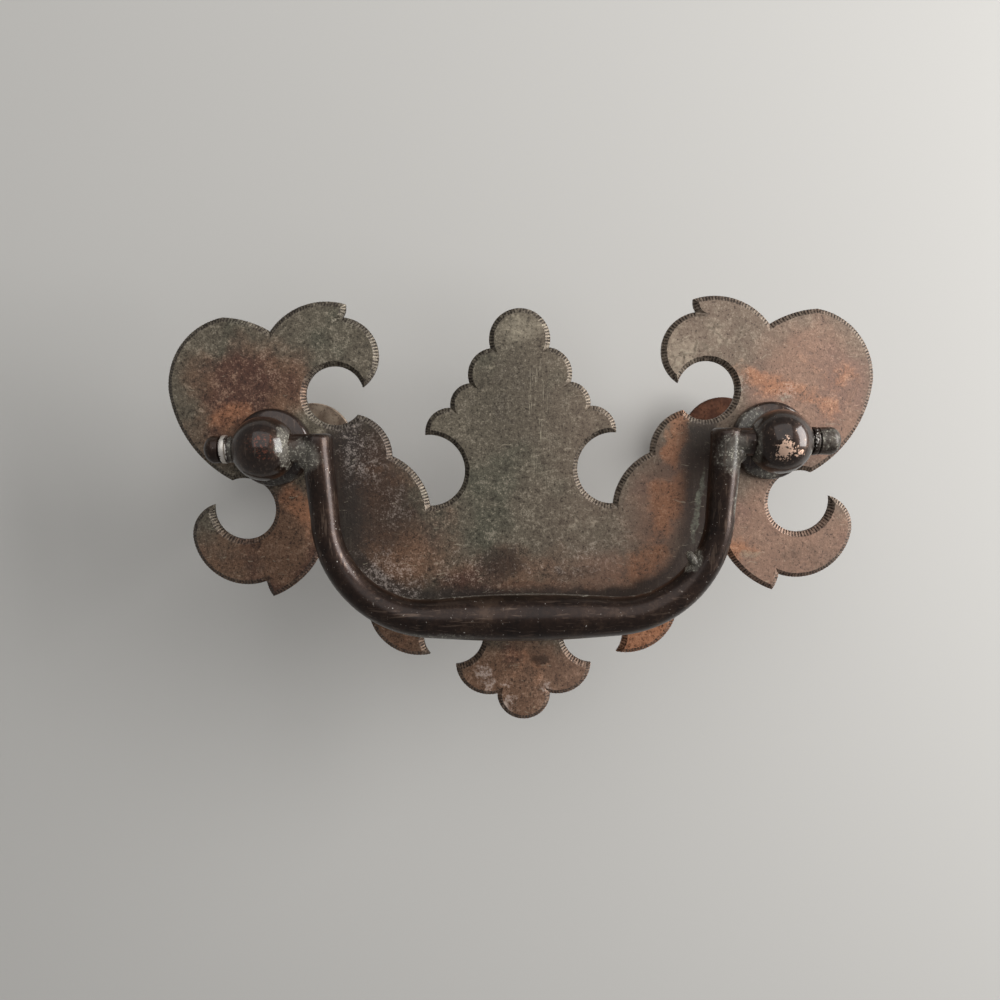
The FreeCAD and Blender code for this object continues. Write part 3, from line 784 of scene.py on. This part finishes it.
def bail_stations():
    """Half the bail, from its rounded top down to the middle of the grip: X, Z, turn and radius."""
    stations = [(ARM_X, 2.12, 0.0, 1.5), (ARM_X, 2.06, 0.0, 1.8), (ARM_X, 1.88, 0.0, 2.08),
                (ARM_X, 1.6, 0.0, 2.27), (ARM_X, 1.25, 0.0, ARM_TOP_R)]
    for step in range(9):
        share = step / 9
        radius = ARM_TOP_R + (ARM_R - ARM_TOP_R) * share
        stations.append((ARM_X - ARM_LEAN * share, -BEND_Z * share, 0.0, radius))
    for step in range(25):
        turn = math.radians(90 * step / 24)
        radius = ARM_R + (GRIP_END_R - ARM_R) * (1 - math.cos(turn))
        stations.append((BEND_X + BEND_R * math.cos(turn), -BEND_Z - BEND_R * math.sin(turn), turn, radius))
    for step in range(1, 9):
        share = 1 - step / 8
        radius = GRIP_END_R + (GRIP_MID_R - GRIP_END_R) * math.cos(math.pi / 2 * share)
        stations.append((BEND_X * share, -BAIL_DROP, math.pi / 2, radius))
    return stations


def section_frame(x, z, turn, radius):
    """Where a unit circle in the XY plane goes to be one section of the bail."""
    return (Matrix.Translation((x, BALL_Y, z)) @ Matrix.Rotation(turn, 4, "Y")
            @ Matrix.Diagonal((radius, radius, radius, 1)))


def pin_profile(ring_start, ring_end):
    """A pin from its arm through the ball to the groove, the ring and the domed nub past it."""
    edge = CHEEK_OUT
    start, end = edge + ring_start, edge + ring_end
    profile = [(0, ARM_X), (PIN_R, ARM_X), (PIN_R, edge - 0.1), (PIN_R - 0.3, edge),
               (PIN_R - 0.3, edge + 0.1), (PIN_R - 0.1, edge + 0.2), (PIN_R - 0.1, start - 0.1),
               (PIN_R - 0.35, start), (PIN_R - 0.05, start + 0.12), (PIN_R, start + 0.3),
               (PIN_R, end - 0.3), (PIN_R - 0.05, end - 0.12), (PIN_R - 0.35, end),
               (PIN_R - 0.35, end + 0.08), (PIN_R - 0.1, end + 0.22), (PIN_R - 0.04, edge + NUB_START)]
    for step in range(1, 13):
        turn = math.radians(90 * step / 12)
        radius = (PIN_R - 0.04) * math.cos(turn)
        profile.append((radius, edge + NUB_START + NUB_DOME * math.sin(turn)))
    return profile


def make_bail(material):
    mesh = bmesh.new()
    right = bail_stations()
    left = [(-x, z, math.pi - turn, radius) for x, z, turn, radius in reversed(right[:-1])]
    frames = [section_frame(*station) for station in right + left]
    ring = bmesh.ops.create_circle(mesh, segments=56, radius=1.0)["verts"]
    bmesh.ops.transform(mesh, matrix=frames[0], verts=ring)
    edges = list({edge for point in ring for edge in point.link_edges})
    bmesh.ops.contextual_create(mesh, geom=edges)
    for before, after in zip(frames, frames[1:]):
        grown = bmesh.ops.extrude_edge_only(mesh, edges=edges)["geom"]
        points = [piece for piece in grown if isinstance(piece, bmesh.types.BMVert)]
        bmesh.ops.transform(mesh, matrix=after @ before.inverted(), verts=points)
        kept = set(points)
        edges = [piece for piece in grown
                 if isinstance(piece, bmesh.types.BMEdge) and kept.issuperset(piece.verts)]
    bmesh.ops.contextual_create(mesh, geom=edges)
    for side in (-1, 1):
        signed = [(max(radius, 0.0), side * along) for radius, along in pin_profile(*RINGS[side])]
        turned(mesh, signed, (0, BALL_Y, 0), "X", 56)
        web = bmesh.ops.create_uvsphere(mesh, u_segments=40, v_segments=24, radius=1.0)["verts"]
        bmesh.ops.scale(mesh, verts=web, vec=WEB)
        bmesh.ops.translate(mesh, verts=web, vec=(side * WEB_PLACE[0], *WEB_PLACE[1:]))
    lump = bmesh.ops.create_icosphere(mesh, subdivisions=4, radius=1.0)["verts"]
    bmesh.ops.scale(mesh, verts=lump, vec=LUMP)
    bmesh.ops.rotate(mesh, verts=lump, matrix=Matrix.Rotation(LUMP_TURN, 3, "Y"))
    bmesh.ops.translate(mesh, verts=lump, vec=LUMP_PLACE)
    return finish_mesh(mesh, "bail_cast", [material], smooth=40)


# Rubbed rings on the pins, painted near white as a highlight, the left one most.
BAIL_RUBBED_AND_GLINT = [(-43.85, -6.2, 0, 1.1, 9, 4.4, 2.0), (42.95, -6.2, 0.5, 0.8, 9, 3, 0.7)]
BAIL_DEPOSITS = [
    (-31.6, -6.2, -1.2, 5.0, 9, 6, 0.9), (-33.4, -6.2, -0.8, 2.0, 9, 3.5, 0.9),
    (30.8, -6.2, -1.5, 6.0, 9, 7, 0.75), (31.9, -6.2, -9.0, 1.6, 9, 12, 0.75),
    (-42.8, -6.2, 0, 0.9, 9, 5, 0.9), (44.9, -6.2, 0, 5.0, 9, 5, 0.6),
    (25.0, -6.7, -17.3, 3.2, 4, 3.6, 1.2), (0, -5.3, -22.6, 62, 2.4, 1.3, 1.2),
    (-16, -8.5, -28.4, 22, 5, 1.5, 0.6), (8, -8.5, -29.4, 34, 5, 1.5, 0.6),
    (-28.6, -4.0, -14.0, 3, 3, 9, 0.5), (2, -6.0, -29.6, 50, 5, 1.0, 0.7)]
bail_bronze = bronze_finish("bail_bronze", 0.35, 0.24, tint(226, 220, 212), BAIL_RUBBED_AND_GLINT, BAIL_DEPOSITS)
bail = make_bail(bail_bronze)
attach(bail, "bail")
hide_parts("bail")


# Table, lamps and room
# The pull lies on a pale table, on the ends of its shanks. A window stands to its right and a little
# above, the room gives an even fill, and the table is clear from behind, so that it hides nothing.

TABLE_Y = 30.4
TABLE_HALF = 1200


def stage_material():
    material, shader, _ = start_finish("pale_table")
    tree = material.node_tree
    shader.inputs["Base Color"].default_value = tint(184, 182, 178)
    shader.inputs["Roughness"].default_value = 0.9
    clear = tree.nodes.new("ShaderNodeBsdfTransparent")
    mix = tree.nodes.new("ShaderNodeMixShader")
    behind = tree.nodes.new("ShaderNodeNewGeometry")
    tree.links.new(behind.outputs["Backfacing"], mix.inputs["Fac"])
    tree.links.new(shader.outputs["BSDF"], mix.inputs[1])
    tree.links.new(clear.outputs["BSDF"], mix.inputs[2])
    tree.links.new(mix.outputs["Shader"], tree.nodes["Material Output"].inputs["Surface"])
    return material


table_mesh = bmesh.new()
bmesh.ops.create_grid(table_mesh, x_segments=1, y_segments=1, size=TABLE_HALF)
bmesh.ops.rotate(table_mesh, verts=table_mesh.verts[:], matrix=Matrix.Rotation(math.pi / 2, 3, "X"))
bmesh.ops.translate(table_mesh, verts=table_mesh.verts[:], vec=(0, TABLE_Y, 0))
table_data = bpy.data.meshes.new("table")
bmesh.ops.scale(table_mesh, vec=(MM, MM, MM), verts=table_mesh.verts[:])
table_mesh.to_mesh(table_data)
table_mesh.free()
table_data.materials.append(stage_material())
table = bpy.data.objects.new("table", table_data)
bpy.context.scene.collection.objects.link(table)


def lamp(name, place, power, width, height):
    """A soft lamp, as wide and as tall as given, that faces the middle of the pull."""
    data = bpy.data.lights.new(name, "AREA")
    data.energy = power
    data.shape = "RECTANGLE"
    data.size = width
    data.size_y = height
    thing = bpy.data.objects.new(name, data)
    thing.location = place
    thing.rotation_euler = (-Vector(place)).to_track_quat("-Z", "Y").to_euler()
    bpy.context.scene.collection.objects.link(thing)


lamp("window", (0.42, -0.19, 0.1), 3.6, 0.24, 0.42)
lamp("upper_fill", (0.0, -0.38, 0.28), 1.0, 0.5, 0.5)
lamp("behind_left", (-0.3, 0.3, 0.1), 0.9, 0.3, 0.3)
lamp("behind_right", (0.25, 0.35, 0.2), 0.9, 0.3, 0.3)

world = bpy.data.worlds.new("room")
world.use_nodes = True
room_light = world.node_tree.nodes["Background"].inputs
room_light["Color"].default_value = (0.8, 0.8, 0.8, 1)
room_light["Strength"].default_value = 0.35
bpy.context.scene.world = world
bpy.context.scene.view_settings.view_transform = "Standard"
